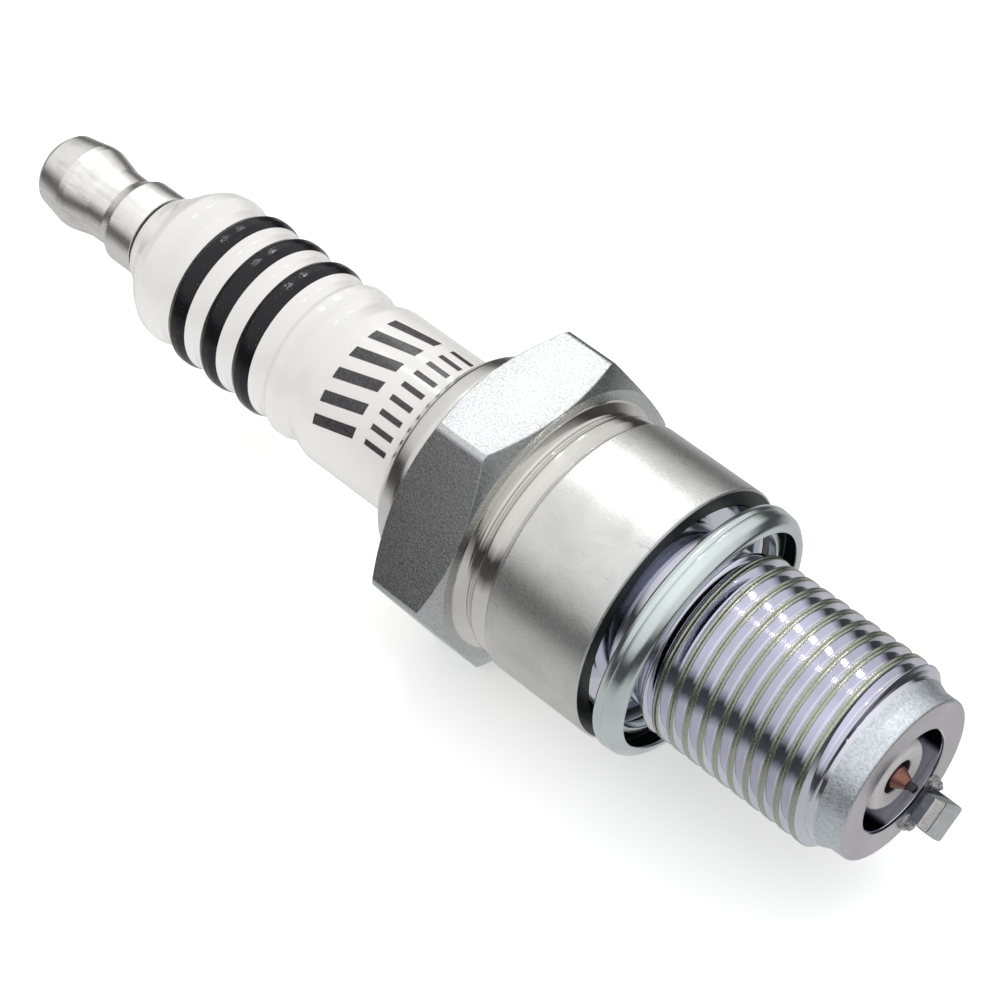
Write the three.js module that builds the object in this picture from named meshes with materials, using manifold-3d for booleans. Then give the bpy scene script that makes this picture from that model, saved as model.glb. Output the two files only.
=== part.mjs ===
// A 14 mm motorcycle spark plug with a fine-wire electrode, lying on one flat of its hexagon.
// Millimetres. +X runs along the plug towards the firing end, +Z is up.
// Along the plug, positions are measured from the shell's firing-end face: the terminal is at negative x.

import * as THREE from "three";
import { mergeVertices } from "three/addons/utils/BufferGeometryUtils.js";
import Module from "manifold-3d";

const wasm = await Module();
wasm.setup();

// ---- driving dimensions ----

const THREAD_PITCH = 1.25;
const THREAD_CREST_R = 6.87;
const THREAD_ROOT_R = 6.36;
const THREAD_START_X = -16.0;
const THREAD_END_X = -2.5;
const THREAD_CREST_X = -12.67; // a crest crosses the +Y side here
const UNDERCUT_R = 6.1; // between the seat and the thread
const REACH = 18.8; // seat to firing-end face
const END_BAND_R = 5.98;
const SHELL_BORE_R = 3.85;

const BARREL_R = 9.57;
const BARREL_REAR_X = -26.9;
const NECK_GROOVE_R = 8.55;
const NECK_BULGE_R = 9.28;
const NECK_BULGE_X = -28.25;
const HEX_ACROSS_FLATS = 20.8;
const HEX_CORNER_R = 11.88; // the corners are rounded off at this radius
const HEX_REAR_X = -35.5;
const HEX_FRONT_X = -29.7;
const HEX_CHAMFER_R = 10.35; // radius of the chamfer circle on both hexagon faces
const HEX_CHAMFER_DEPTH = 0.87; // its depth at a corner
const LIP_R = 8.2;
const LIP_ROLL_R = 2.0;
const LIP_TOP_X = -36.9;
const PACKING_POCKET_R = 7.65;
const PACKING_POCKET_X = -26.3; // front end of the pocket
const BODY_BORE_R = 5.1; // bore round the insulator's middle
const PACKING_RING_R = 6.88;
const UPPER_RING_X = -37.42;
const UPPER_RING_WIRE_R = 0.32;
const LOWER_RING_X = -35.75;
const LOWER_RING_WIRE_R = 0.3;
const INSULATOR_SEAT_X = -14.6;

const INSULATOR_TOP_X = -67.65;
const INSULATOR_R = 6.12;
const RIB_CREST_R = 5.94;
const RIB_VALLEY_R = 5.62;
const RIB_FIRST_X = -60.3;
const RIB_PITCH = 3.18;
const RIB_COUNT = 4;
const NOSE_X = -0.5;
const NOSE_R = 2.58;
const NOSE_RECESS_R = 1.64;
const NOSE_RECESS_DEPTH = 2.0;
const FLANGE_R = 7.1; // the thick middle, held by the packing
const FLANGE_REAR_X = -34.9;
const FLANGE_FRONT_X = -26.6;
const STEM_R = 4.75; // between the flange and the nose
const INSULATOR_BORE_R = 2.0;
const ELECTRODE_BORE_R = 1.4;

const TERMINAL_TOP_X = -78.6;
const TERMINAL_BULB_R = 3.27;
const TERMINAL_WAIST_R = 2.74;
const TERMINAL_BOTTOM_X = -67.95;
const TERMINAL_THREAD_R = 1.95; // M4 post
const TERMINAL_BORE_END_X = -77.0;
const STUD_TOP_X = -76.2;
const STUD_SHANK_R = 1.75;
const STUD_FLANGE_R = 2.75;
const STUD_FOOT_X = -45.3;

const SEAL_R = 1.88;
const UPPER_SEAL_X = [-45.2, -42.7];
const RESISTOR_X = [-42.6, -33.6];
const LOWER_SEAL_X = [-33.5, -30.25];
const ELECTRODE_HEAD_X = -30.1;
const ELECTRODE_HEAD_R = 1.85;
const ELECTRODE_R = 1.2;
const COPPER_R = 0.6;
const COPPER_X = [-30.0, -4.3];

const TIP_WIRE_R = 0.3;
const TIP_START_X = 0.35;
const TIP_END_X = 0.9;

const STRAP_WIDTH = 2.5;
const STRAP_TIP_WIDTH = 2.0;
const STRAP_THICKNESS = 1.12;
const STRAP_UNDERSIDE_X = 1.68;
const STRAP_OUTER_R = 5.45;
const STRAP_REACH_PAST_AXIS = 0.3;
const STRAP_DIRECTION = THREE.MathUtils.degToRad(-53.4); // from +Y towards +Z
const STRAP_SIDE_OFFSET = -0.68;
const STRAP_TAPER_R = 2.6; // it narrows from here to the free end
const STRAP_BEND_R = 1.75;

const GASKET_R = 9.5;
const GASKET_BORE_R = 7.6;
const GASKET_THICKNESS = 2.1;
const GASKET_X = -16.82;
const GASKET_TILT = THREE.MathUtils.degToRad(4.95);
const GASKET_TILT_DIRECTION = THREE.MathUtils.degToRad(108); // this side leans towards the thread
const GASKET_SHEET = 0.45; // thickness of its strip

const ROUND_SEGMENTS = 32;
const INNER_SEGMENTS = 16;
const HEX_SEGMENTS = 48;
const THREAD_STEPS_PER_TURN = 5;
const RUNNING_GAP = 0.1;

const STRAP_TOP_X = STRAP_UNDERSIDE_X + STRAP_THICKNESS;
const HEX_APOTHEM = HEX_ACROSS_FLATS / 2;

// ---- shape helpers ----

// Points of an arc in (x, r), from one angle to another in degrees.
function arc(centreX, centreR, radius, fromDeg, toDeg, steps) {
  const points = [];
  for (let i = 0; i <= steps; i++) {
    const angle = THREE.MathUtils.degToRad(fromDeg + ((toDeg - fromDeg) * i) / steps);
    points.push([centreX + radius * Math.cos(angle), centreR + radius * Math.sin(angle)]);
  }
  return points;
}

// Revolves [x, r] points about the X axis. The outside runs towards +x and the bore runs back.
function revolve(points, segments) {
  const profile = points.map(([x, r]) => new THREE.Vector2(r, x));
  return new THREE.LatheGeometry(profile, segments).rotateZ(-Math.PI / 2);
}

// The same, for a ring or tube whose profile closes on itself.
function revolveRing(points, segments) {
  return revolve([...points, points[0]], segments);
}

// A plain round bar with chamfered ends, as a closed profile on the axis.
function bar(fromX, toX, radius, chamfer) {
  return [
    [fromX, 0],
    [fromX, radius - chamfer],
    [fromX + chamfer, radius],
    [toX - chamfer, radius],
    [toX, radius - chamfer],
    [toX, 0],
  ];
}

// A plain bar from one position to another, as the seals and the cores are.
function barNode([fromX, toX], radius, chamfer) {
  return revolve(bar(fromX, toX, radius, chamfer), INNER_SEGMENTS);
}

function toSolid(geometry) {
  const bare = geometry.clone();
  bare.deleteAttribute("normal");
  bare.deleteAttribute("uv");
  const merged = mergeVertices(bare, 1e-4);
  return new wasm.Manifold(
    new wasm.Mesh({
      numProp: 3,
      vertProperties: merged.attributes.position.array,
      triVerts: new Uint32Array(merged.index.array),
    }),
  );
}

function toGeometry(solid) {
  const mesh = solid.getMesh();
  const geometry = new THREE.BufferGeometry();
  geometry.setAttribute("position", new THREE.BufferAttribute(mesh.vertProperties, 3));
  geometry.setIndex(new THREE.BufferAttribute(mesh.triVerts, 1));
  geometry.computeVertexNormals();
  return geometry;
}

// ---- terminal ----

function terminalNut() {
  const boreR = TERMINAL_THREAD_R + RUNNING_GAP;
  return revolve(
    [
      [TERMINAL_TOP_X, 0],
      [TERMINAL_TOP_X, 2.25],
      [TERMINAL_TOP_X + 0.3, 2.6],
      [TERMINAL_TOP_X + 0.8, 2.84],
      [-75.8, TERMINAL_BULB_R - 0.02],
      [-75.4, TERMINAL_BULB_R],
      [-74.95, TERMINAL_BULB_R - 0.06],
      [-73.3, TERMINAL_WAIST_R + 0.12],
      [-72.7, TERMINAL_WAIST_R],
      [-71.7, TERMINAL_WAIST_R],
      [-71.1, TERMINAL_WAIST_R + 0.12],
      [-70.35, TERMINAL_BULB_R - 0.06],
      [-70.1, TERMINAL_BULB_R],
      [TERMINAL_BOTTOM_X - 0.12, TERMINAL_BULB_R],
      [TERMINAL_BOTTOM_X, TERMINAL_BULB_R - 0.12],
      [TERMINAL_BOTTOM_X, boreR + 0.25],
      [TERMINAL_BOTTOM_X - 0.25, boreR],
      [TERMINAL_BORE_END_X + 0.5, boreR],
      [TERMINAL_BORE_END_X, 0],
    ],
    ROUND_SEGMENTS,
  );
}

// The steel stud: an M4 post under the nut, a flange on the ceramic, and a thicker foot on the glass seal.
function terminalStud() {
  const flangeRearX = INSULATOR_TOP_X - 0.15;
  const flangeFrontX = INSULATOR_TOP_X + 0.7;
  return revolve(
    [
      [STUD_TOP_X, 0],
      [STUD_TOP_X, TERMINAL_THREAD_R - 0.4],
      [STUD_TOP_X + 0.4, TERMINAL_THREAD_R],
      [flangeRearX - 1.4, TERMINAL_THREAD_R],
      [flangeRearX - 1.1, 1.6],
      [flangeRearX, 1.6],
      [flangeRearX, STUD_FLANGE_R],
      [flangeFrontX, STUD_FLANGE_R],
      [flangeFrontX, STUD_SHANK_R],
      [STUD_FOOT_X - 3.7, STUD_SHANK_R],
      [STUD_FOOT_X - 3.4, SEAL_R],
      [STUD_FOOT_X - 0.3, SEAL_R],
      [STUD_FOOT_X, SEAL_R - 0.28],
      [STUD_FOOT_X, 0],
    ],
    INNER_SEGMENTS,
  );
}

// ---- ceramic ----

function insulatorRibs() {
  const points = [];
  for (let i = 0; i < RIB_COUNT; i++) {
    const x = RIB_FIRST_X + i * RIB_PITCH;
    points.push([x - 0.95, RIB_VALLEY_R]);
    points.push([x - 0.5, RIB_CREST_R - 0.1]);
    points.push([x - 0.1, RIB_CREST_R]);
    points.push([x + 0.25, RIB_CREST_R]);
    points.push([x + 0.6, RIB_CREST_R - 0.1]);
    points.push([x + 1.1, RIB_VALLEY_R]);
  }
  return points;
}

function insulator() {
  const counterboreX = INSULATOR_TOP_X + 0.85;
  return revolveRing(
    [
      [INSULATOR_TOP_X, 3.3],
      [-67.4, 3.6],
      [-66.6, 4.1],
      [-65.5, 5.0],
      [-64.9, 5.38],
      [-64.1, 5.72],
      [-63.4, 5.85],
      [-62.7, 5.78],
      ...insulatorRibs(),
      [-48.6, RIB_VALLEY_R + 0.1],
      [-47.9, 5.98],
      [-47.3, INSULATOR_R],
      [FLANGE_REAR_X - 1.0, INSULATOR_R],
      [FLANGE_REAR_X, FLANGE_R],
      [FLANGE_FRONT_X, FLANGE_R],
      [FLANGE_FRONT_X + 2.2, STEM_R],
      [INSULATOR_SEAT_X - 0.4, STEM_R],
      [INSULATOR_SEAT_X + 0.5, STEM_R - 1.3],
      [NOSE_X - 0.25, NOSE_R],
      [NOSE_X, NOSE_R - 0.2],
      [NOSE_X, NOSE_RECESS_R],
      [NOSE_X - NOSE_RECESS_DEPTH, NOSE_RECESS_R - 0.1],
      [NOSE_X - NOSE_RECESS_DEPTH - 0.1, ELECTRODE_BORE_R],
      [ELECTRODE_HEAD_X + 1.7, ELECTRODE_BORE_R],
      [ELECTRODE_HEAD_X + 1.0, INSULATOR_BORE_R],
      [counterboreX, INSULATOR_BORE_R],
      [counterboreX, STUD_FLANGE_R + 0.2],
      [INSULATOR_TOP_X, STUD_FLANGE_R + 0.2],
    ],
    ROUND_SEGMENTS,
  );
}

// ---- conductor chain inside the ceramic ----

function centreElectrode() {
  const coreBoreR = COPPER_R + 0.15;
  const coneEndX = TIP_START_X - 0.05;
  return revolve(
    [
      [ELECTRODE_HEAD_X, coreBoreR],
      [ELECTRODE_HEAD_X, ELECTRODE_HEAD_R - 0.2],
      [ELECTRODE_HEAD_X + 0.2, ELECTRODE_HEAD_R],
      [ELECTRODE_HEAD_X + 0.9, ELECTRODE_HEAD_R],
      [ELECTRODE_HEAD_X + 1.6, ELECTRODE_R],
      [NOSE_X - 0.25, ELECTRODE_R],
      [NOSE_X - 0.05, ELECTRODE_R - 0.15],
      [coneEndX, TIP_WIRE_R + 0.12],
      [coneEndX, 0],
      [COPPER_X[1] + 0.7, 0],
      [COPPER_X[1] + 0.3, coreBoreR],
      [ELECTRODE_HEAD_X, coreBoreR],
    ],
    INNER_SEGMENTS,
  );
}

// ---- shell ----

// Radius of the rolled thread: a ridge wound right-handed, with a flat crest and a fade-in at each end.
function threadRadius(x, angle) {
  const turns = (x - THREAD_CREST_X) / THREAD_PITCH - angle / (2 * Math.PI);
  const offCrest = Math.abs(turns - Math.round(turns)) * 2; // 0 on a crest, 1 in a root
  const tooth = THREE.MathUtils.clamp(1.7 - 1.9 * offCrest, 0, 1);
  const fadeIn = THREE.MathUtils.clamp((x - THREAD_START_X) / THREAD_PITCH, 0, 1);
  const fadeOut = THREE.MathUtils.clamp((THREAD_END_X - x) / (0.4 * THREAD_PITCH), 0, 1);
  return THREAD_ROOT_R + (THREAD_CREST_R - THREAD_ROOT_R) * tooth * fadeIn * fadeOut;
}

// Moves the thread's rings of vertices out to the wound rib.
function windThread(geometry) {
  const position = geometry.attributes.position;
  for (let i = 0; i < position.count; i++) {
    const x = position.getX(i);
    if (x <= THREAD_START_X || x >= THREAD_END_X) continue;
    const angle = Math.atan2(position.getZ(i), position.getY(i));
    const radius = Math.hypot(position.getY(i), position.getZ(i));
    if (radius < UNDERCUT_R - 0.1) continue;
    const scale = threadRadius(x, angle) / radius;
    position.setY(i, position.getY(i) * scale);
    position.setZ(i, position.getZ(i) * scale);
  }
  return geometry;
}

function shellOutside() {
  const threadRings = [];
  const steps = Math.round(((THREAD_END_X - THREAD_START_X) / THREAD_PITCH) * THREAD_STEPS_PER_TURN);
  for (let i = 0; i <= steps; i++) {
    threadRings.push([THREAD_START_X + ((THREAD_END_X - THREAD_START_X) * i) / steps, THREAD_ROOT_R]);
  }
  return [
    ...arc(LIP_TOP_X, LIP_R - LIP_ROLL_R, LIP_ROLL_R, 175, 90, 6),
    [HEX_REAR_X - 0.2, LIP_R + 0.05],
    [HEX_REAR_X, HEX_CHAMFER_R - 0.4],
    [HEX_FRONT_X, HEX_CHAMFER_R - 0.4],
    [HEX_FRONT_X + 0.1, NECK_GROOVE_R + 0.3],
    [HEX_FRONT_X + 0.4, NECK_GROOVE_R],
    [NECK_BULGE_X - 0.8, NECK_GROOVE_R + 0.2],
    [NECK_BULGE_X - 0.45, NECK_BULGE_R - 0.15],
    [NECK_BULGE_X, NECK_BULGE_R],
    [NECK_BULGE_X + 0.5, NECK_BULGE_R - 0.12],
    [BARREL_REAR_X - 0.35, NECK_BULGE_R - 0.35],
    [BARREL_REAR_X - 0.2, BARREL_R - 0.25],
    [BARREL_REAR_X, BARREL_R],
    [-REACH - 0.3, BARREL_R],
    [-REACH, BARREL_R - 0.3],
    [-REACH, UNDERCUT_R + 0.3],
    [-REACH + 0.3, UNDERCUT_R],
    [THREAD_START_X - 0.4, UNDERCUT_R],
    ...threadRings,
    [-2.05, THREAD_ROOT_R + 0.08],
    [-1.35, END_BAND_R],
    [-0.12, END_BAND_R],
    [0, END_BAND_R - 0.12],
  ];
}

function shellBore() {
  return [
    [0, SHELL_BORE_R + 0.1],
    [-0.1, SHELL_BORE_R],
    [INSULATOR_SEAT_X + 1.0, SHELL_BORE_R],
    [INSULATOR_SEAT_X + 0.1, BODY_BORE_R],
    [PACKING_POCKET_X + 2.0, BODY_BORE_R],
    [PACKING_POCKET_X, PACKING_POCKET_R],
    [LIP_TOP_X - 0.4, PACKING_POCKET_R],
    [LIP_TOP_X - 1.0, PACKING_POCKET_R - 0.45],
    [LIP_TOP_X - 1.4, INSULATOR_R + 0.25],
  ];
}

// A hexagonal prism along X with a flat facing down, its corners turned off on both faces.
function hexagon() {
  const cornerR = HEX_APOTHEM / Math.cos(Math.PI / 6); // before rounding off
  const outline = new THREE.Shape();
  for (let i = 0; i < 6; i++) {
    const angle = (i * Math.PI) / 3;
    const y = cornerR * Math.cos(angle);
    const z = cornerR * Math.sin(angle);
    if (i === 0) outline.moveTo(y, z);
    else outline.lineTo(y, z);
  }
  outline.closePath();
  const prism = new THREE.ExtrudeGeometry(outline, { depth: HEX_FRONT_X - HEX_REAR_X, bevelEnabled: false });
  // The outline's (y, z) plane is turned so that the extrusion runs along +X.
  prism.applyMatrix4(new THREE.Matrix4().makeBasis(
    new THREE.Vector3(0, 1, 0), new THREE.Vector3(0, 0, 1), new THREE.Vector3(1, 0, 0),
  ));
  prism.translate(HEX_REAR_X, 0, 0);
  const turned = revolve(
    [
      [HEX_REAR_X, 0],
      [HEX_REAR_X, HEX_CHAMFER_R],
      [HEX_REAR_X + HEX_CHAMFER_DEPTH, HEX_CORNER_R],
      [HEX_FRONT_X - HEX_CHAMFER_DEPTH, HEX_CORNER_R],
      [HEX_FRONT_X, HEX_CHAMFER_R],
      [HEX_FRONT_X, 0],
    ],
    HEX_SEGMENTS,
  );
  return toSolid(prism).intersect(toSolid(turned));
}

function shell() {
  const turned = toSolid(windThread(revolveRing([...shellOutside(), ...shellBore()], ROUND_SEGMENTS)));
  const hexBore = toSolid(revolve(bar(HEX_REAR_X - 1, HEX_FRONT_X + 1, HEX_CHAMFER_R - 1.2, 0.1), ROUND_SEGMENTS));
  return toGeometry(turned.add(hexagon().subtract(hexBore)));
}

// ---- seals and packing ----

// A round wire ring, as the packing rings are.
function wireRing(x, ringR, wireR) {
  return revolveRing(arc(x, ringR, wireR, 180, -150, 11), INNER_SEGMENTS);
}

function talcPacking() {
  const rearX = UPPER_RING_X + UPPER_RING_WIRE_R + 0.1;
  const frontX = LOWER_RING_X - LOWER_RING_WIRE_R - 0.2;
  return revolveRing(
    [
      [rearX, INSULATOR_R + 0.15],
      [rearX, PACKING_POCKET_R - 0.15],
      [frontX, PACKING_POCKET_R - 0.15],
      [frontX, INSULATOR_R + 0.15],
    ],
    INNER_SEGMENTS,
  );
}

// The soft steel washer between the insulator's step and the ledge inside the shell.
function seatWasher() {
  const x = INSULATOR_SEAT_X;
  return revolveRing(
    [
      [x - 0.32, BODY_BORE_R - 0.22],
      [x - 0.05, BODY_BORE_R - 0.12],
      [x + 0.55, SHELL_BORE_R + 0.3],
      [x + 0.32, SHELL_BORE_R + 0.17],
    ],
    INNER_SEGMENTS,
  );
}

// The folded sealing washer: a rolled outer rim, open on the inside, with its inner lip behind.
function gasketRing() {
  const half = GASKET_THICKNESS / 2;
  const rimR = GASKET_R - half;
  return revolveRing(
    [
      [-half, GASKET_BORE_R + 0.1],
      ...arc(0, rimR, half, 180, 0, 10),
      [half - 0.25, rimR - 0.15],
      [half - 0.3, GASKET_R - GASKET_SHEET - 0.18],
      [-half + 0.5, GASKET_R - GASKET_SHEET - 0.18],
      [-half + GASKET_SHEET, GASKET_BORE_R],
    ],
    ROUND_SEGMENTS,
  );
}

// ---- ground electrode ----

// Side view of the strap: r along the radius, x along the plug.
function strapOutline() {
  const innerR = STRAP_OUTER_R - STRAP_THICKNESS;
  const bendCentreR = STRAP_OUTER_R - STRAP_BEND_R;
  const bendCentreX = STRAP_TOP_X - STRAP_BEND_R;
  const outline = new THREE.Shape();
  outline.moveTo(STRAP_OUTER_R, 0.05);
  outline.lineTo(STRAP_OUTER_R, bendCentreX);
  outline.absarc(bendCentreR, bendCentreX, STRAP_BEND_R, 0, Math.PI / 2, false);
  outline.lineTo(-STRAP_REACH_PAST_AXIS, STRAP_TOP_X);
  outline.lineTo(-STRAP_REACH_PAST_AXIS, STRAP_UNDERSIDE_X);
  outline.lineTo(bendCentreR, STRAP_UNDERSIDE_X);
  outline.absarc(bendCentreR, bendCentreX, STRAP_BEND_R - STRAP_THICKNESS, Math.PI / 2, 0, true);
  outline.lineTo(innerR, 0.05);
  outline.closePath();
  return outline;
}

// Plan view of the strap, seen along the plug: it narrows towards the free end.
function strapPlan() {
  const half = STRAP_WIDTH / 2;
  const tipHalf = STRAP_TIP_WIDTH / 2;
  const outline = new THREE.Shape();
  outline.moveTo(STRAP_OUTER_R + 1, -half);
  outline.lineTo(STRAP_OUTER_R + 1, half);
  outline.lineTo(STRAP_TAPER_R, half);
  outline.lineTo(-STRAP_REACH_PAST_AXIS - 0.001, tipHalf);
  outline.lineTo(-STRAP_REACH_PAST_AXIS - 0.001, -tipHalf);
  outline.lineTo(STRAP_TAPER_R, -half);
  outline.closePath();
  return outline;
}

function groundElectrode() {
  const side = new THREE.ExtrudeGeometry(strapOutline(), {
    depth: STRAP_WIDTH + 1,
    bevelEnabled: false,
    curveSegments: 7,
  });
  // In the strap's own frame x is along the plug, y along the radius, z across the strap.
  side.translate(0, 0, -(STRAP_WIDTH + 1) / 2);
  side.applyMatrix4(new THREE.Matrix4().makeBasis(
    new THREE.Vector3(0, 1, 0), new THREE.Vector3(1, 0, 0), new THREE.Vector3(0, 0, -1),
  ));
  const plan = new THREE.ExtrudeGeometry(strapPlan(), { depth: STRAP_TOP_X + 2, bevelEnabled: false });
  plan.translate(0, 0, -1);
  plan.applyMatrix4(new THREE.Matrix4().makeBasis(
    new THREE.Vector3(0, 1, 0), new THREE.Vector3(0, 0, 1), new THREE.Vector3(1, 0, 0),
  ));
  return toGeometry(toSolid(side).intersect(toSolid(plan)));
}

// ---- assembly ----

const plug = new THREE.Group();
plug.name = "spark_plug";

function add(name, geometry, color, roughness, metalness) {
  const material = new THREE.MeshStandardMaterial({ color, roughness, metalness });
  const mesh = new THREE.Mesh(geometry, material);
  mesh.name = name;
  plug.add(mesh);
  return mesh;
}

add("terminal_nut", terminalNut(), 0xd4d6d8, 0.3, 1);
add("terminal_stud", terminalStud(), 0xa8a49c, 0.4, 1);
add("insulator", insulator(), 0xeae8e3, 0.12, 0);
add("upper_glass_seal", barNode(UPPER_SEAL_X, SEAL_R, 0.15), 0x5a4436, 0.4, 0);
add("resistor", barNode(RESISTOR_X, SEAL_R, 0.1), 0x2c2a2a, 0.7, 0);
add("lower_glass_seal", barNode(LOWER_SEAL_X, SEAL_R, 0.15), 0x5a4436, 0.4, 0);
add("center_electrode", centreElectrode(), 0x9a7468, 0.4, 1);
add("copper_core", barNode(COPPER_X, COPPER_R, 0.1), 0xb87048, 0.35, 1);
add("iridium_tip", barNode([TIP_START_X, TIP_END_X], TIP_WIRE_R, 0.04), 0xc8c6c4, 0.3, 1);
add("shell", shell(), 0xc9c8c8, 0.3, 1);
add("upper_packing_ring", wireRing(UPPER_RING_X, PACKING_RING_R, UPPER_RING_WIRE_R), 0x8d8d8d, 0.4, 1);
add("talc_packing", talcPacking(), 0xdad6cc, 0.9, 0);
add("lower_packing_ring", wireRing(LOWER_RING_X, PACKING_RING_R + 0.05, LOWER_RING_WIRE_R), 0x8d8d8d, 0.4, 1);
add("seat_washer", seatWasher(), 0x9a9a98, 0.4, 1);

const gasket = add("gasket", gasketRing(), 0xb4c0c4, 0.25, 1);
gasket.position.x = GASKET_X;
// Leaning about the in-plane axis at right angles to the tilt direction.
gasket.setRotationFromAxisAngle(
  new THREE.Vector3(0, Math.cos(GASKET_TILT_DIRECTION - Math.PI / 2), Math.sin(GASKET_TILT_DIRECTION - Math.PI / 2)),
  GASKET_TILT,
);

const strap = add("ground_electrode", groundElectrode(), 0x9b9a98, 0.4, 1);
strap.rotation.x = STRAP_DIRECTION;
strap.position.y = -Math.sin(STRAP_DIRECTION) * STRAP_SIDE_OFFSET;
strap.position.z = Math.cos(STRAP_DIRECTION) * STRAP_SIDE_OFFSET;

// The origin is at the middle of the plug's length, on the surface that the hexagon rests on.
plug.position.set(-(TERMINAL_TOP_X + STRAP_TOP_X) / 2, 0, HEX_APOTHEM);

export default plug;
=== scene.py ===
import math

import bpy
from mathutils import Matrix, Vector, noise

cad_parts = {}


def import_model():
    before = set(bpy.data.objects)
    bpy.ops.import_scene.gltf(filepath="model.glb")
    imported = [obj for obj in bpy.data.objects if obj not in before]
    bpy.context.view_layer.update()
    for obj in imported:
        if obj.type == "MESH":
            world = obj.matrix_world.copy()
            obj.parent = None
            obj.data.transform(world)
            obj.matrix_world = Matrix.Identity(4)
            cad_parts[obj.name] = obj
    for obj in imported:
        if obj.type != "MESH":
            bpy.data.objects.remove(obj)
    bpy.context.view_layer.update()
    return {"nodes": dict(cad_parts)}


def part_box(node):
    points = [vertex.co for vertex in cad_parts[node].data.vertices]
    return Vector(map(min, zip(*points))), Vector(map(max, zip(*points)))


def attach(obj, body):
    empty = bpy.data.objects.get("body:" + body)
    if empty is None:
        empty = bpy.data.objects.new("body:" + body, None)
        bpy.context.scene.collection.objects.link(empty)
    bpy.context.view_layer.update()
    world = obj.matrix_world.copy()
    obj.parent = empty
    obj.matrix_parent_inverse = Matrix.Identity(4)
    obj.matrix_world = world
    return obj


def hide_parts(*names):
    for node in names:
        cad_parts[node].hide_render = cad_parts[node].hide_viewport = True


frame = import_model()

# The plug lies along X. Profiles are in millimetres: s along the plug from the shell's firing-end face
# (the terminal is at negative s) and r from the plug's axis.
MM = 0.001
END_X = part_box("shell")[1].x
AXIS_Z = (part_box("shell")[0].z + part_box("shell")[1].z) / 2

SEGMENTS = 240
PITCH = 1.25
CREST_R = 6.88
ROOT_R = 6.26
THREAD_START = -16.4
THREAD_END = -2.3
CREST_S = -12.67  # a crest crosses the +Y side here
SEAT_S = -18.8
BARREL_R = 9.57
BARREL_REAR_S = -26.9
HEX_APOTHEM = 10.4
HEX_CORNER_R = 11.88
HEX_REAR_S = -35.5
HEX_FRONT_S = -29.7
HEX_CHAMFER_R = 10.35
HEX_CHAMFER_SLOPE = 0.57
INSULATOR_R = 6.12
STRAP_ANGLE = math.radians(-53.4)
STRAP_SIDE = -0.68
STRAP_OUTER_R = 5.45
STRAP_UNDER_S = 1.68
STRAP_THICKNESS = 1.12
STRAP_BEND_R = 1.75
STRAP_PAST_AXIS = 0.28
STRAP_GROOVE_NEAR = 0.69  # the shear mark across the strap, from the plug's axis
STRAP_GROOVE_FAR = 0.82
NOSE_REAR_S = -1.5
NOSE_RECESS_R = 1.22
END_BAND_REAR_S = -1.75  # the plain band ahead of the thread
END_BAND_INNER_R = 5.5
DARK_FLAT = math.radians(150)  # the flat painted darker than the others, with its opposite: a painted dark reflection


# ---- shape helpers ----

def place(s, y, z):
    """A point of the plug, in metres in the row frame."""
    return Vector((END_X + s * MM, y * MM, AXIS_Z + z * MM))


def fillet(points, steps=4):
    """Replaces each (s, r, radius) corner of a polyline with an arc of that radius."""
    out = []
    for i, p in enumerate(points):
        radius = p[2] if len(p) > 2 else 0
        if not radius or i in (0, len(points) - 1):
            out.append((p[0], p[1]))
            continue
        here = Vector(p[:2])
        back = Vector(points[i - 1][:2]) - here
        ahead = Vector(points[i + 1][:2]) - here
        half = back.angle(ahead) / 2
        reach = min(radius / math.tan(half), back.length * 0.49, ahead.length * 0.49)
        radius = reach * math.tan(half)
        centre = here + (back.normalized() + ahead.normalized()).normalized() * (radius / math.sin(half))
        start = here + back.normalized() * reach - centre
        end = here + ahead.normalized() * reach - centre
        sweep = start.angle_signed(end)
        for k in range(steps + 1):
            turned = start.copy()
            turned.rotate(Matrix.Rotation(-sweep * k / steps, 2))
            out.append(tuple(centre + turned))
    return out


def new_object(name, vertices, faces, sharp=32):
    mesh = bpy.data.meshes.new(name)
    mesh.from_pydata(vertices, [], faces)
    mesh.validate()
    mesh.update()
    mesh.shade_smooth()
    mesh.set_sharp_from_angle(angle=math.radians(sharp))
    piece = bpy.data.objects.new(name, mesh)
    bpy.context.scene.collection.objects.link(piece)
    return piece


def grid_faces(rows, columns, wrap_rows=False):
    faces = []
    for i in range(rows if wrap_rows else rows - 1):
        for k in range(columns):
            a, b = i * columns + k, i * columns + (k + 1) % columns
            c, d = ((i + 1) % rows) * columns + k, ((i + 1) % rows) * columns + (k + 1) % columns
            faces.append((a, b, d, c))
    return faces


def lathe(name, profile, closed=False, radius_at=None, segments=SEGMENTS, sharp=32):
    """Revolves an (s, r) profile about the plug's axis. radius_at(s, r, angle) may move a point."""
    vertices = []
    for s, r in profile:
        for k in range(segments):
            angle = 2 * math.pi * k / segments
            radius = radius_at(s, r, angle) if radius_at else r
            vertices.append(place(s, radius * math.cos(angle), radius * math.sin(angle)))
    return new_object(name, vertices, grid_faces(len(profile), segments, closed), sharp)


def finish_piece(piece, material, body, nodes=()):
    for one in material if isinstance(material, (list, tuple)) else [material]:
        piece.data.materials.append(one)
    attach(piece, body)
    if nodes:
        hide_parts(*nodes)
    return piece


# ---- materials ----

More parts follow.
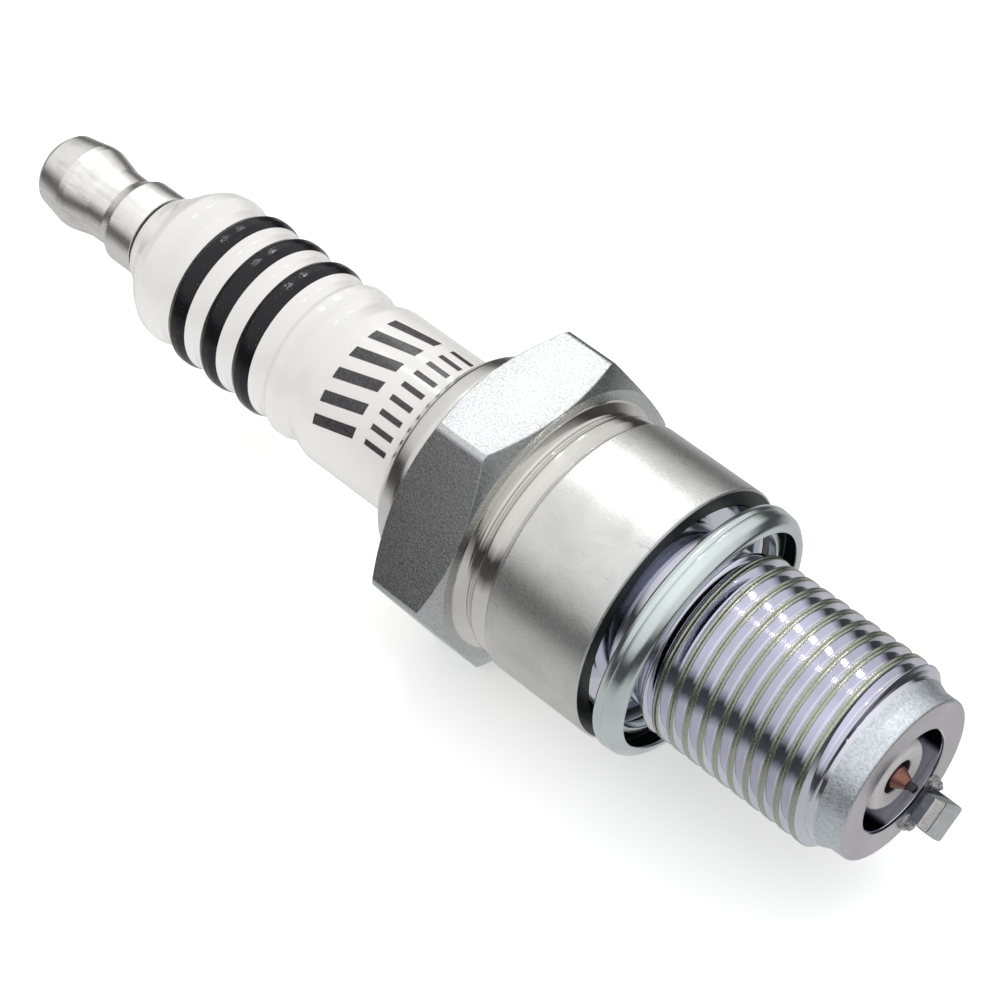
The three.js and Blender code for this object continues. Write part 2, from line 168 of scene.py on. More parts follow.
class Shader:
    """A node material with short calls for the nodes used here. Noise is in the object's own metres."""

    def __init__(self, name, roughness=0.3, metallic=0.0, color=(0.8, 0.8, 0.8)):
        self.material = bpy.data.materials.new(name)
        self.material.use_nodes = True
        self.tree = self.material.node_tree
        self.bsdf = self.tree.nodes["Principled BSDF"]
        self.bsdf.inputs["Base Color"].default_value = (*color, 1)
        self.bsdf.inputs["Roughness"].default_value = roughness
        self.bsdf.inputs["Metallic"].default_value = metallic
        self.coordinates = self.tree.nodes.new("ShaderNodeTexCoord").outputs["Object"]

    def link(self, output, socket):
        self.tree.links.new(output, socket)

    def stretched(self, x, y, z):
        mapping = self.tree.nodes.new("ShaderNodeMapping")
        mapping.inputs["Scale"].default_value = (x, y, z)
        self.link(self.coordinates, mapping.inputs["Vector"])
        return mapping.outputs["Vector"]

    def noise(self, size_mm, detail=3.0, roughness=0.55, vector=None, distortion=0.0):
        node = self.tree.nodes.new("ShaderNodeTexNoise")
        node.inputs["Scale"].default_value = 1000 / size_mm
        node.inputs["Detail"].default_value = detail
        node.inputs["Roughness"].default_value = roughness
        node.inputs["Distortion"].default_value = distortion
        self.link(vector or self.coordinates, node.inputs["Vector"])
        return node.outputs["Fac"]

    def cells(self, size_mm):
        node = self.tree.nodes.new("ShaderNodeTexVoronoi")
        node.inputs["Scale"].default_value = 1000 / size_mm
        self.link(self.coordinates, node.inputs["Vector"])
        return node.outputs["Distance"]

    def ramp(self, factor, stops):
        node = self.tree.nodes.new("ShaderNodeValToRGB")
        elements = node.color_ramp.elements
        while len(elements) < len(stops):
            elements.new(0.5)
        for element, (position, color) in zip(elements, stops):
            element.position = position
            element.color = (*color, 1) if isinstance(color, tuple) else (color, color, color, 1)
        self.link(factor, node.inputs["Fac"])
        return node.outputs["Color"]

    def mix(self, factor, a, b, kind="MIX"):
        node = self.tree.nodes.new("ShaderNodeMix")
        node.data_type = "RGBA"
        node.blend_type = kind
        for value, socket in ((factor, node.inputs[0]), (a, node.inputs[6]), (b, node.inputs[7])):
            if isinstance(value, bpy.types.NodeSocket):
                self.link(value, socket)
            elif isinstance(value, tuple):
                socket.default_value = (*value, 1)
            else:
                socket.default_value = value
        return node.outputs[2]

    def color(self, output):
        self.link(output, self.bsdf.inputs["Base Color"])
        return self

    def roughness(self, output):
        self.link(output, self.bsdf.inputs["Roughness"])
        return self

    def bump(self, height, depth_mm, strength=1.0):
        node = self.tree.nodes.new("ShaderNodeBump")
        node.inputs["Distance"].default_value = depth_mm * MM
        node.inputs["Strength"].default_value = strength
        self.link(height, node.inputs["Height"])
        if self.bsdf.inputs["Normal"].is_linked:
            self.link(self.bsdf.inputs["Normal"].links[0].from_socket, node.inputs["Normal"])
        self.link(node.outputs["Normal"], self.bsdf.inputs["Normal"])
        return self


def plated_steel(name, grain_mm, grain_depth, roughness, tint=(0.80, 0.79, 0.78), speck=0.0):
    """Zinc-plated steel: a satin or polished metal with fine grain and slightly uneven plating."""
    shader = Shader(name, metallic=1.0)
    cloud = shader.noise(6.0, 3.0)
    grain = shader.noise(grain_mm, 4.0, 0.7)
    light = tuple(min(1.0, c * 1.07) for c in tint)
    dull = tuple(c * 0.88 for c in tint)
    base = shader.ramp(cloud, [(0.3, dull), (0.7, light)])
    darker = shader.ramp(grain, [(0.35, 1 - speck), (0.6, 1.0)])
    shader.color(shader.mix(1.0, base, darker, "MULTIPLY"))
    low, high = roughness
    shader.roughness(shader.ramp(grain, [(0.3, low), (0.7, high)]))
    shader.bump(grain, grain_depth)
    return shader.material


def ceramic_glaze():
    shader = Shader("ceramic_glaze", roughness=0.12)
    tone = shader.noise(9.0, 2.0)
    base = shader.ramp(tone, [(0.3, (0.83, 0.82, 0.795)), (0.7, (0.87, 0.86, 0.835))])
    dot_cells = shader.cells(0.42)
    specks = shader.ramp(dot_cells, [(0.0, 0.93), (0.09, 1.0)])
    shader.color(shader.mix(1.0, base, specks, "MULTIPLY"))
    shader.bsdf.inputs["Specular IOR Level"].default_value = 0.5
    shader.bsdf.inputs["Coat Weight"].default_value = 0.3
    shader.bsdf.inputs["Coat Roughness"].default_value = 0.05
    shader.bump(shader.noise(0.55, 2.0), 0.006)
    shader.bump(shader.noise(3.0, 2.0), 0.03)
    return shader.material


def band_ink_painted_glints():
    shader = Shader("band_ink_painted_glints", roughness=0.12)
    # The light grey dots in the black ink are painted glints.
    dot_cells = shader.cells(0.28)
    shader.color(shader.ramp(dot_cells, [(0.0, (0.45, 0.44, 0.46)), (0.10, (0.008, 0.008, 0.010))]))
    shader.bsdf.inputs["Specular IOR Level"].default_value = 0.35
    shader.bump(shader.noise(0.35, 3.0, 0.6), 0.02)
    return shader.material


def print_ink():
    shader = Shader("print_ink", roughness=0.3)
    grain = shader.noise(0.2, 3.0, 0.7)
    shader.color(shader.ramp(grain, [(0.4, (0.035, 0.033, 0.036)), (0.75, (0.10, 0.095, 0.10))]))
    shader.bump(shader.noise(0.2, 2.0), 0.005)
    return shader.material


def turned_aluminium():
    shader = Shader("turned_aluminium", metallic=1.0)
    streaks = shader.noise(0.5, 4.0, 0.7, shader.stretched(0.12, 1, 1))
    smudges = shader.noise(1.6, 3.0)
    base = shader.ramp(smudges, [(0.35, (0.90, 0.89, 0.86)), (0.6, (0.98, 0.97, 0.94))])
    lines = shader.ramp(streaks, [(0.3, 0.80), (0.55, 1.0)])
    shader.color(shader.mix(1.0, base, lines, "MULTIPLY"))
    shader.roughness(shader.ramp(streaks, [(0.3, 0.34), (0.7, 0.22)]))
    shader.bump(streaks, 0.012)
    return shader.material


def plain_metal(name, color, roughness, grain_mm=0.3, depth=0.01):
    shader = Shader(name, metallic=1.0)
    grain = shader.noise(grain_mm, 4.0, 0.65)
    dull = tuple(c * 0.72 for c in color)
    shader.color(shader.ramp(grain, [(0.3, dull), (0.65, color)]))
    shader.roughness(shader.ramp(grain, [(0.3, min(1.0, roughness + 0.12)), (0.7, roughness)]))
    shader.bump(grain, depth)
    return shader.material


def packed_powder(name, color, grain_mm=0.15, depth=0.03):
    shader = Shader(name, roughness=0.85)
    grain = shader.noise(grain_mm, 4.0, 0.7)
    dull = tuple(c * 0.8 for c in color)
    shader.color(shader.ramp(grain, [(0.35, dull), (0.65, color)]))
    shader.roughness(shader.ramp(grain, [(0.3, 0.9), (0.7, 0.7)]))
    shader.bump(grain, depth)
    return shader.material


# ---- terminal nut ----

def terminal_nut():
    profile = fillet([
        (-77.4, 0.02),
        (-77.4, 1.05, 0.1),
        (-78.55, 1.35, 0.12),
        (-78.6, 2.35, 0.28),
        (-78.05, 2.85, 0.25),
        (-75.75, 3.27, 0.35),
        (-75.2, 3.27, 0.35),
        (-73.1, 2.76, 0.8),
        (-71.4, 2.74, 0.5),
        (-70.45, 3.27, 0.3),
        (-67.98, 3.27, 0.12),
        (-67.98, 2.2),
    ], 6)
    piece = lathe("nut_turned", profile)
    return finish_piece(piece, turned_aluminium(), "terminal_nut", ["terminal_nut"])


# ---- insulator ----

def insulator():
    head = [
        (-66.9, 2.95),
        (-67.65, 2.98, 0.08),
        (-67.6, 3.45, 0.15),
        (-66.55, 4.08, 0.9),
        (-65.35, 5.12, 0.9),
        (-64.4, 5.74, 0.9),
        (-63.3, 5.92, 0.9),
        (-62.15, 5.55, 0.5),
    ]
    ribs = []
    for crest in (-60.28, -57.08, -53.88, -50.72):
        ribs += [(crest - 0.75, 5.72, 0.25), (crest - 0.25, 6.0, 0.45), (crest + 0.35, 5.98, 0.45),
                 (crest + 0.95, 5.74, 0.3), (crest + 1.6, 5.6, 0.6)]
    ribs[-1] = (-49.1, 5.64, 0.8)
    body = [
        (-47.6, 6.12, 1.6),
        (-38.0, 6.12),
        (-36.4, 6.12, 0.3),
        (-35.2, 7.0, 0.3),
        (-27.0, 7.0, 0.5),
        (-24.6, 4.75, 0.5),
        (-15.0, 4.75, 0.3),
        (-14.1, 3.45, 0.3),
        (-0.75, 2.60, 0.5),
        (-0.44, 2.25, 0.25),
        (-0.5, 1.25, 0.1),
        (-1.6, 1.15, 0.3),
        (-2.4, 1.1, 0.1),
        (-4.0, 1.1),
    ]
    piece = lathe("insulator_glazed", fillet(head + ribs + body, 6), sharp=60)
    bands = ((-60.93, -59.50), (-57.73, -56.24), (-54.46, -53.02))
    # The recess walls inside the insulator are painted near-black: painted shade.
    bore = packed_powder("nose_recess_painted_shade", (0.03, 0.03, 0.035))
    nose = packed_powder("nose_fired", (0.63, 0.61, 0.61))
    materials = [ceramic_glaze(), band_ink_painted_glints(), bore, nose]
    finish_piece(piece, materials, "plug_body", ["insulator"])
    for polygon in piece.data.polygons:
        s = (polygon.center.x - END_X) / MM
        r = math.hypot(polygon.center.y, polygon.center.z - AXIS_Z) / MM
        if r < NOSE_RECESS_R:
            polygon.material_index = 2
        elif s > NOSE_REAR_S:
            polygon.material_index = 3
        else:
            polygon.material_index = any(low < s < high for low, high in bands)
    return piece


# ---- shell ----

THREAD_TOOTH = fillet([  # one turn, from root to root: s from the crest's middle, and r
    (-0.61, ROOT_R),
    (-0.57, ROOT_R, 0.03),
    (-0.53, ROOT_R + (CREST_R - ROOT_R) * 0.1127),
    (-0.255, CREST_R - (CREST_R - ROOT_R) * 0.1127),
    (-0.215, CREST_R, 0.04),
    (-0.15, CREST_R),
    (-0.06, CREST_R),
    (-0.03, CREST_R - 0.035),
    (0.0, CREST_R),
    (0.15, CREST_R),
    (0.215, CREST_R, 0.04),
    (0.255, CREST_R - (CREST_R - ROOT_R) * 0.111),
    (0.535, ROOT_R + (CREST_R - ROOT_R) * 0.111),
    (0.575, ROOT_R, 0.03),
    (0.64, ROOT_R),
], 2)[:-1]


def threaded_rings():
    """Rings of (s, r) for each column of the thread, wound right-handed and fading in at both ends."""
    first = math.floor((THREAD_START - CREST_S) / PITCH) - 1
    last = math.ceil((THREAD_END - CREST_S) / PITCH)
    columns = []
    for k in range(SEGMENTS + 1):
        column = []
        for turn in range(first, last + 1):
            for offset, r in THREAD_TOOTH:
                s = CREST_S + PITCH * (turn + k / SEGMENTS) + offset
                inside = min(max(s, THREAD_START), THREAD_END)
                fade_in = (inside - THREAD_START) / (0.7 * PITCH)
                fade_out = (THREAD_END - inside) / (0.35 * PITCH)
                fade = min(1.0, fade_in, fade_out)
                column.append((inside + (s - inside) * 0.01, ROOT_R + (r - ROOT_R) * fade))
        columns.append(column)
    return columns


def shell_thread():
    behind = fillet([
        (SEAT_S - 0.2, 8.6),
        (SEAT_S, 8.4, 0.05),
        (SEAT_S, 6.5, 0.2),
        (SEAT_S + 0.4, 6.05, 0.2),
        (THREAD_START - 0.4, 6.05, 0.2),
        (THREAD_START - 0.05, ROOT_R),
    ])
    ahead = fillet([
        (THREAD_END + 0.05, ROOT_R),
        (-2.0, 6.28, 0.1),
        (-1.3, 6.0, 0.2),
        (0.0, 5.98, 0.22),
        (0.0, 3.95, 0.1),
        (-0.12, 3.8, 0.1),
        (-12.0, 3.8),
    ])
    columns = [behind + column + ahead for column in threaded_rings()]
    rows = len(columns[0])
    vertices = []
    for row in range(rows):
        for k, column in enumerate(columns):
            s, r = column[row]
            angle = 2 * math.pi * k / SEGMENTS
            vertices.append(place(s, r * math.cos(angle), r * math.sin(angle)))
    wide = SEGMENTS + 1
    faces = [(i * wide + k, i * wide + k + 1, (i + 1) * wide + k + 1, (i + 1) * wide + k)
             for i in range(rows - 1) for k in range(SEGMENTS)]
    piece = new_object("shell_threaded", vertices, faces, 50)
    steel = plated_steel("thread_plating", 0.6, 0.002, (0.05, 0.10), (0.79, 0.79, 0.89))
    crest = plated_steel("thread_crest_plating", 0.12, 0.012, (0.16, 0.28), (0.55, 0.57, 0.49), 0.3)
    face = plated_steel("end_face_plating", 0.25, 0.012, (0.3, 0.45), (0.76, 0.74, 0.76), 0.12)
    band = plated_steel("end_band_plating", 0.2, 0.03, (0.30, 0.42), (0.82, 0.88, 0.93), 0.3)
    finish_piece(piece, [steel, crest, face, band], "plug_body", ["shell"])
    for polygon in piece.data.polygons:
        s = (polygon.center.x - END_X) / MM
        r = math.hypot(polygon.center.y, polygon.center.z - AXIS_Z) / MM
        if s > -0.05 and abs(polygon.normal.x) > 0.8:
            polygon.material_index = 2
        elif r > CREST_R - 0.07 and THREAD_START < s < THREAD_END:
            polygon.material_index = 1
        elif r > END_BAND_INNER_R and s > END_BAND_REAR_S:
            polygon.material_index = 3
    return piece


def shell_barrel():
    profile = fillet([
        (BARREL_REAR_S - 0.35, 8.75),
        (BARREL_REAR_S, 9.1, 0.1),
        (BARREL_REAR_S + 0.05, BARREL_R, 0.4),
        (SEAT_S - 0.12, BARREL_R, 0.12),
        (SEAT_S, BARREL_R - 0.16, 0.08),
        (SEAT_S, 8.3),
    ], 6)
    piece = lathe("shell_barrel", profile)
    # The seat face, hidden between the barrel and the gasket, is painted near-black: painted shade.
    seat = plated_steel("seat_painted_shade", 0.5, 0.01, (0.32, 0.45), (0.09, 0.09, 0.09))
    finish_piece(piece, [barrel_plating(), seat], "plug_body")
    for polygon in piece.data.polygons:
        polygon.material_index = polygon.normal.x > 0.9
    return piece


def barrel_plating():
    """Satin zinc on the turned barrel: mottled, fine-grained, with a few scuffs."""
    shader = Shader("barrel_plating", metallic=1.0)
    cloud = shader.noise(3.2, 4.0, 0.6, distortion=0.6)
    grain = shader.noise(0.13, 3.0, 0.7)
    scuffs = shader.noise(1.4, 5.0, 0.75, shader.stretched(0.25, 1, 1), 1.2)
    base = shader.ramp(cloud, [(0.3, (0.68, 0.675, 0.67)), (0.7, (0.80, 0.80, 0.795))])
    darker = shader.ramp(scuffs, [(0.27, 0.72), (0.36, 1.0)])
    shader.color(shader.mix(1.0, base, darker, "MULTIPLY"))
    shader.roughness(shader.ramp(grain, [(0.3, 0.24), (0.7, 0.38)]))
    shader.bump(grain, 0.012)
    shader.bump(cloud, 0.02)
    return shader.material


def shell_neck():
    profile = fillet([
        (HEX_FRONT_S - 0.05, 9.9),
        (HEX_FRONT_S + 0.02, 9.45, 0.2),
        (HEX_FRONT_S + 0.45, 8.80, 0.4),
        (-29.02, 8.78, 0.2),
        (-28.92, 8.92, 0.05),
        (-28.82, 8.86, 0.05),
        (-28.72, 8.98, 0.1),
        (-28.35, 9.26, 0.5),
        (-27.70, 9.22, 0.6),
        (-27.20, 8.95, 0.3),
        (BARREL_REAR_S - 0.2, 8.7),
    ], 6)
    piece = lathe("shell_neck", profile)
    steel = plated_steel("neck_plating", 1.5, 0.004, (0.05, 0.12), (0.80, 0.78, 0.74))
    return finish_piece(piece, steel, "plug_body")


def shell_lip():
    profile = fillet([
        (-37.0, 6.22),
        (-38.35, 6.25, 0.15),
        (-38.95, 6.75, 0.3),
        (-38.75, 7.35, 0.7),
        (-38.1, 7.95, 0.7),
        (-37.0, 8.25, 1.2),
        (-35.9, 8.3, 0.3),
        (HEX_REAR_S - 0.1, 8.7, 0.3),
        (HEX_REAR_S + 0.05, 9.9),
    ], 8)
    piece = lathe("shell_rolled_lip", profile)
    steel = plated_steel("lip_plating", 1.2, 0.01, (0.12, 0.22), (0.82, 0.81, 0.78))
    return finish_piece(piece, steel, "plug_body")


def hexagon_radius(angle):
    """Distance from the axis to the side of the hexagon, whose corners are turned off."""
    off_flat = (angle % (math.pi / 3)) - math.pi / 6
    return min(HEX_APOTHEM / math.cos(off_flat), HEX_CORNER_R)


def shell_hexagon():
    angles = []
    for corner in range(6):
        for k in range(-30, 30):
            share = k / 30
            angles.append(math.radians(60 * corner + 30 * share * abs(share) ** 0.35))
    columns = []
    for angle in angles:
        r = hexagon_radius(angle)
        inset = (r - HEX_CHAMFER_R) * HEX_CHAMFER_SLOPE
        columns.append(fillet([
            (HEX_REAR_S, 8.6),
            (HEX_REAR_S, HEX_CHAMFER_R, 0.08),
            (HEX_REAR_S + inset, r, 0.1),
            (HEX_FRONT_S - inset, r, 0.1),
            (HEX_FRONT_S, HEX_CHAMFER_R, 0.08),
            (HEX_FRONT_S, 8.9),
        ]))
    vertices = []
    for row in range(len(columns[0])):
        for angle, column in zip(angles, columns):
            s, r = column[row]
            vertices.append(place(s, r * math.cos(angle), r * math.sin(angle)))
    piece = new_object("shell_hexagon", vertices, grid_faces(len(columns[0]), len(angles)), 20)
    bright = hexagon_plating("hexagon_plating", (0.60, 0.62, 0.62))
    # The darker copy, on one flat and its opposite, is a painted dark reflection.
    darker = hexagon_plating("hexagon_plating_painted_reflection", (0.52, 0.52, 0.53))
    finish_piece(piece, [bright, darker], "plug_body")
    side = Vector((0, math.cos(DARK_FLAT), math.sin(DARK_FLAT)))
    for polygon in piece.data.polygons:
        polygon.material_index = abs(polygon.normal.dot(side)) > 0.9
    return piece


def hexagon_plating(name, tint):
    """Cold-drawn flats under zinc: coarse satin grain with bright specks."""
    shader = Shader(name, metallic=1.0)
    grain = shader.noise(0.16, 4.0, 0.75)
    cloud = shader.noise(4.0, 3.0)
    base = shader.ramp(cloud, [(0.3, tint), (0.7, tuple(c * 1.08 for c in tint))])
    specks = shader.ramp(grain, [(0.36, 0.72), (0.55, 1.0)])
    shader.color(shader.mix(1.0, base, specks, "MULTIPLY"))
    shader.roughness(shader.ramp(grain, [(0.3, 0.2), (0.7, 0.3)]))
    shader.bump(grain, 0.018)
    return shader.material


# ---- gasket ----

GASKET_S = -16.82
GASKET_TILT = math.radians(-4.95)
GASKET_TILT_SIDE = math.radians(108)  # this side leans towards the thread


def gasket():
    profile = fillet([
        (-1.02, 7.85),
        (-1.04, 8.5, 0.3),
        (-1.00, 9.30, 0.4),
        (-0.55, 9.50, 0.3),
        (-0.25, 9.48, 0.08),
        (-0.18, 9.38, 0.04),
        (-0.11, 9.46, 0.08),
        (0.45, 9.42, 0.6),
        (1.00, 8.95, 0.5),
        (1.05, 8.50, 0.2),
        (0.85, 8.35, 0.12),
        (0.60, 8.60, 0.12),
        (0.30, 8.95, 0.2),
        (-0.50, 8.90, 0.2),
        (-0.55, 8.30, 0.1),
        (-0.05, 8.05, 0.12),
        (-0.10, 7.62, 0.12),
        (-0.75, 7.62, 0.2),
    ], 6)
    hinge = Vector((0, -math.sin(GASKET_TILT_SIDE), math.cos(GASKET_TILT_SIDE)))
    lean = Matrix.Rotation(GASKET_TILT, 3, hinge)
    vertices = []
    for s, r in profile:
        for k in range(SEGMENTS):
            angle = 2 * math.pi * k / SEGMENTS
            point = lean @ Vector((s, r * math.cos(angle), r * math.sin(angle)))
            vertices.append(place(GASKET_S + point.x, point.y, point.z))
    piece = new_object("gasket_folded", vertices, grid_faces(len(profile), SEGMENTS, True))
    steel = plated_steel("gasket_plating", 1.0, 0.01, (0.14, 0.22), (0.72, 0.79, 0.79))
    # The channel inside the fold is painted near-black: painted shade.
    channel = plated_steel("gasket_channel_painted_shade", 0.6, 0.01, (0.3, 0.45), (0.06, 0.07, 0.07))
    finish_piece(piece, [steel, channel], "gasket", ["gasket"])
    for polygon in piece.data.polygons:
        s, r = profile[polygon.index // SEGMENTS]
        polygon.material_index = -0.6 < s < 0.8 and 8.1 < r < 9.0
    return piece


# ---- firing end ----

def strap_point(along, side, s):
    """A point of the strap: along its own radius, across it, and s along the plug."""
    c, n = math.cos(STRAP_ANGLE), math.sin(STRAP_ANGLE)
    side += STRAP_SIDE
    return place(s, along * c - side * n, along * n + side * c)


def ground_electrode():
    top = STRAP_UNDER_S + STRAP_THICKNESS
    centre_r, centre_s = STRAP_OUTER_R - STRAP_BEND_R, top - STRAP_BEND_R
    outer, inner = [(STRAP_OUTER_R, 0.0)], [(STRAP_OUTER_R - STRAP_THICKNESS, 0.0)]
    for k in range(13):
        a = math.pi / 2 * k / 12
        outer.append((centre_r + STRAP_BEND_R * math.cos(a), centre_s + STRAP_BEND_R * math.sin(a)))
        small = STRAP_BEND_R - STRAP_THICKNESS
        inner.append((centre_r + small * math.cos(a), centre_s + small * math.sin(a)))
    for along, sunk in (
        (2.6, 0),
        (1.2, 0),
        (STRAP_GROOVE_FAR, 0),
        (STRAP_GROOVE_FAR - 0.03, 0.1),
        (STRAP_GROOVE_NEAR + 0.03, 0.1),
        (STRAP_GROOVE_NEAR, 0.03),
        (-0.2, 0.34),
        (-STRAP_PAST_AXIS, 0.44),
    ):
        outer.append((along, top - sunk))
        inner.append((along, STRAP_UNDER_S))
    vertices = []
    for (ro, so), (ri, si) in zip(outer, inner):
        taper = min(1.0, max(0.0, (2.6 - ro) / 2.9))
        half = 1.26 - 0.27 * taper
        chamfer = 0.14
        for r, s, side in (
            (ri, si, -half + chamfer),
            (ri, si, half - chamfer),
            (ri, si, half),
            (ro, so, half),
            (ro, so, half - chamfer),
            (ro, so, -half + chamfer),
            (ro, so, -half),
            (ri, si, -half),
        ):
            mid_r, mid_s = (ro + ri) / 2, (so + si) / 2
            shrink = 0.86 if abs(abs(side) - half) < 1e-9 else 1.0
            vertices.append(strap_point(mid_r + (r - mid_r) * shrink, side, mid_s + (s - mid_s) * shrink))
    faces = [face[::-1] for face in grid_faces(len(outer), 8)]
    last = (len(outer) - 1) * 8
    faces.append(tuple(range(8)))
    faces.append(tuple(range(last + 7, last - 1, -1)))
    piece = new_object("strap_bent", vertices, faces, 40)
    nickel = plain_metal("strap_nickel_satin", (0.74, 0.75, 0.77), 0.3, 0.25, 0.02)
    sheared = plain_metal("strap_sheared", (0.98, 0.97, 0.95), 0.5, 0.16, 0.09)
    # The dark copy paints the strap's sides, underside and shear groove: painted shade.
    shaded = plain_metal("strap_painted_shade", (0.13, 0.14, 0.17), 0.25, 0.3, 0.01)
    finish_piece(piece, [nickel, sheared, shaded], "plug_body", ["ground_electrode"])
    out = Vector((0, math.cos(STRAP_ANGLE), math.sin(STRAP_ANGLE)))
    for polygon in piece.data.polygons:
        along = (polygon.center - place(0, 0, 0)).dot(out) / MM
        if polygon.normal.x < 0.5:
            polygon.material_index = 2
        elif along < STRAP_GROOVE_FAR:
            polygon.material_index = 2 if along > STRAP_GROOVE_NEAR else 1
    return piece


def weld_beads():
    """The two rough beads beside the strap's root."""
    vertices, faces = [], []
    for side in (-1.45, 1.4):
        start = len(vertices)
        rings, columns = 14, 20
        for i in range(rings + 1):
            polar = math.pi * i / rings
            for k in range(columns):
                around = 2 * math.pi * k / columns
                unit = Vector((math.sin(polar) * math.cos(around), math.sin(polar) * math.sin(around),
                               math.cos(polar)))
                size = 1 + 0.35 * noise.noise(unit * 2.6 + Vector((side, 0, 0)))
                vertices.append(strap_point(4.65 + 0.9 * unit.x * size, side + 0.6 * unit.y * size,
                                            0.08 + 0.5 * unit.z * size))
        faces += [tuple(start + i for i in face) for face in grid_faces(rings + 1, columns)]
    piece = new_object("weld_beads", vertices, faces, 50)
    metal = plain_metal("weld_metal", (0.74, 0.73, 0.74), 0.16, 0.3, 0.16)
    return finish_piece(piece, metal, "plug_body")


def centre_electrode():
    profile = fillet([
        (-6.0, 1.0),
        (-1.5, 1.0, 0.1),
        (-1.2, 0.84, 0.15),
        (-0.5, 0.78, 0.3),
        (0.34, 0.38, 0.05),
        (0.35, 0.02),
    ])
    piece = lathe("electrode_tip_cone", profile, segments=96)
    nickel = plain_metal("electrode_nickel_red", (0.36, 0.17, 0.14), 0.35, 0.3, 0.02)
    return finish_piece(piece, nickel, "plug_body", ["center_electrode"])


# ---- print on the ceramic ----

def print_marks():
    """Plain bars in two rows, in place of the lettering."""
    vertices, faces = [], []

    def bar(s0, s1, a0, a1, slant):
        start = len(vertices)
        for i in range(9):
            for k in range(9):
                share = i / 8
                s = s0 + (s1 - s0) * share
                angle = math.radians(a0 + (a1 - a0) * k / 8 + slant * share)
                r = INSULATOR_R + 0.012
                vertices.append(place(s, r * math.cos(angle), r * math.sin(angle)))
        for i in range(8):
            for k in range(8):
                a = start + i * 9 + k
                faces.append((a, a + 1, a + 10, a + 9))

    for k in range(6):
        bar(-46.4, -42.9, 72 + 17 * k, 80 + 17 * k, -9)
    for k in range(9):
        bar(-41.9, -40.0, 62 + 11 * k, 66 + 11 * k, 0)
    piece = new_object("print_bars", vertices, faces, 60)
    return finish_piece(piece, print_ink(), "plug_body")


# ---- the nodes that stay as they are ----

CARRIED = {
    "terminal_stud": lambda: plain_metal("stud_steel_satin", (0.62, 0.60, 0.56), 0.35),
    "upper_glass_seal": lambda: packed_powder("seal_glass_upper", (0.16, 0.11, 0.08)),
    "lower_glass_seal": lambda: packed_powder("seal_glass_lower", (0.16, 0.11, 0.08)),
    "resistor": lambda: packed_powder("resistor_body_dark", (0.05, 0.045, 0.045)),
    "copper_core": lambda: plain_metal("copper_drawn", (0.80, 0.42, 0.26), 0.3),
    # The fine wire is coloured near-black: painted shade.
    "iridium_tip": lambda: plain_metal("fine_wire_painted_shade", (0.16, 0.15, 0.16), 0.3),
    "upper_packing_ring": lambda: plain_metal("packing_upper", (0.50, 0.50, 0.50), 0.4),
    "lower_packing_ring": lambda: plain_metal("packing_lower", (0.50, 0.50, 0.50), 0.4),
    "talc_packing": lambda: packed_powder("talc_pressed", (0.78, 0.76, 0.72)),
    "seat_washer": lambda: plain_metal("seat_washer_steel", (0.55, 0.55, 0.54), 0.4),
}

terminal_nut()
insulator()
shell_thread()
shell_barrel()
shell_neck()
shell_lip()
shell_hexagon()
gasket()
ground_electrode()
weld_beads()
centre_electrode()
print_marks()
for node, make in CARRIED.items():
    frame["nodes"][node].data.materials.clear()
    frame["nodes"][node].data.materials.append(make())


# ---- studio ----

def floor():
    size = 3.0
    steps = 24
    vertices = [(size * (i / steps - 0.5) * 2, size * (k / steps - 0.5) * 2, 0)
                for i in range(steps + 1) for k in range(steps + 1)]
    faces = [(i * (steps + 1) + k, (i + 1) * (steps + 1) + k, (i + 1) * (steps + 1) + k + 1,
              i * (steps + 1) + k + 1) for i in range(steps) for k in range(steps)]
    piece = new_object("floor", vertices, faces)
    shader = Shader("floor_paper", roughness=0.9)
    shader.color(shader.ramp(shader.noise(60, 2.0), [(0.3, 0.93), (0.7, 0.95)]))
    shader.bsdf.inputs["Specular IOR Level"].default_value = 0.1
    # The floor glows faintly: painted light that fills in the plug's shadow on it.
    shader.bsdf.inputs["Emission Color"].default_value = (1.0, 1.0, 1.0, 1.0)
    shader.bsdf.inputs["Emission Strength"].default_value = 0.4
    piece.data.materials.append(shader.material)
    piece.visible_glossy = False


def backdrop():
    """A pale dome behind the views from the sides. Only the camera sees it."""
    radius, rings, columns = 2.9, 16, 48
    vertices = []
    for i in range(rings + 1):
        rise = math.pi / 2 * i / rings
        for k in range(columns):
            around = 2 * math.pi * k / columns
            flat = radius * math.cos(rise)
            height = radius * math.sin(rise) - 0.01
            vertices.append((flat * math.cos(around), flat * math.sin(around), height))
    piece = new_object("backdrop", vertices, grid_faces(rings + 1, columns), 60)
    shader = Shader("backdrop_paper", roughness=0.9)
    shader.color(shader.ramp(shader.noise(900, 2.0), [(0.3, 0.93), (0.7, 0.95)]))
    shader.bsdf.inputs["Specular IOR Level"].default_value = 0.0
    piece.data.materials.append(shader.material)
    piece.visible_glossy = False
    piece.visible_diffuse = False
    piece.visible_shadow = False


def area_light(name, location, size, watts, glossy):
    data = bpy.data.lights.new(name, "AREA")
    data.shape = "RECTANGLE"
    data.size, data.size_y = size
    data.energy = watts
    light = bpy.data.objects.new(name, data)
    light.location = location
    light.rotation_mode = "QUATERNION"
    light.rotation_quaternion = (-Vector(location)).to_track_quat("-Z", "Y")
    light.visible_glossy = glossy
    bpy.context.scene.collection.objects.link(light)


# A grey studio: pale above and below, with a dark line round the horizon. (Z of the direction, brightness).
STUDIO = (
    (-1.0, 0.60),
    (-0.45, 0.55),
    (-0.22, 0.08),
    (0.04, 0.05),
    (0.28, 0.72),
    (1.0, 1.05),
)


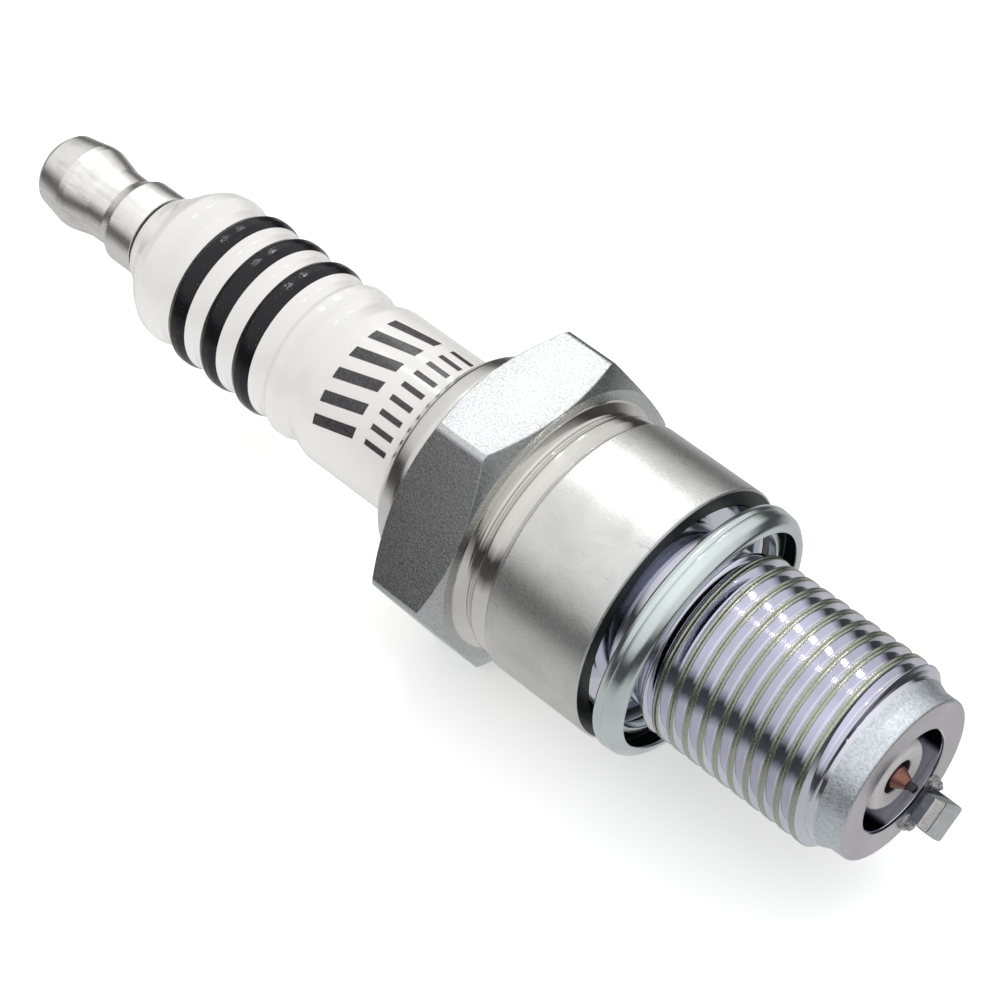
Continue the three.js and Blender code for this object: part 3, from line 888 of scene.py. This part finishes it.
def world():
    """Soft grey light whose brightness depends only on how high it comes from."""
    sky = bpy.data.worlds.new("studio")
    bpy.context.scene.world = sky
    sky.use_nodes = True
    tree = sky.node_tree
    direction = tree.nodes.new("ShaderNodeTexCoord")
    split = tree.nodes.new("ShaderNodeSeparateXYZ")
    tree.links.new(direction.outputs["Generated"], split.inputs[0])
    height = tree.nodes.new("ShaderNodeMapRange")
    height.inputs["From Min"].default_value = -1
    height.inputs["From Max"].default_value = 1
    tree.links.new(split.outputs["Z"], height.inputs["Value"])
    greys = tree.nodes.new("ShaderNodeValToRGB")
    while len(greys.color_ramp.elements) < len(STUDIO):
        greys.color_ramp.elements.new(0.5)
    for element, (z, brightness) in zip(greys.color_ramp.elements, STUDIO):
        element.position = (z + 1) / 2
        element.color = (brightness, brightness, brightness, 1)
    tree.links.new(height.outputs["Result"], greys.inputs["Fac"])
    tree.links.new(greys.outputs["Color"], tree.nodes["Background"].inputs["Color"])
    tree.nodes["Background"].inputs["Strength"].default_value = 1.0


def camera():
    """Looks along the plug from its firing end, from above, with a slight roll."""
    azimuth, elevation, roll = (math.radians(x) for x in (42.569, 47.786, 2.072))
    back = Vector((math.sin(azimuth) * math.cos(elevation), -math.cos(azimuth) * math.cos(elevation),
                   math.sin(elevation)))
    right = Vector((math.cos(azimuth), math.sin(azimuth), 0))
    up = back.cross(right)
    rolled_right = right * math.cos(roll) + up * math.sin(roll)
    rolled_up = up * math.cos(roll) - right * math.sin(roll)
    data = bpy.data.cameras.new("photo_camera")
    data.lens = 118.34
    data.sensor_width = 36
    data.clip_start, data.clip_end = 0.01, 20
    eye = bpy.data.objects.new("photo_camera", data)
    bpy.context.scene.collection.objects.link(eye)
    rotation = Matrix((rolled_right, rolled_up, back)).transposed()
    eye.matrix_world = Matrix.Translation(place(64.913, -108.337, 160.802)) @ rotation.to_4x4()
    bpy.context.scene.camera = eye


floor()
world()
camera()
backdrop()
area_light("top_softbox", (0.0, 0.42, 0.62), (0.6, 0.5), 0.9, False)
area_light("glint_upper", (-0.364, 0.184, 0.688), (0.05, 0.05), 0.3, True)
area_light("glint_lower", (-0.364, 0.467, 0.538), (0.05, 0.05), 0.3, True)
bpy.context.scene.view_settings.view_transform = "Standard"
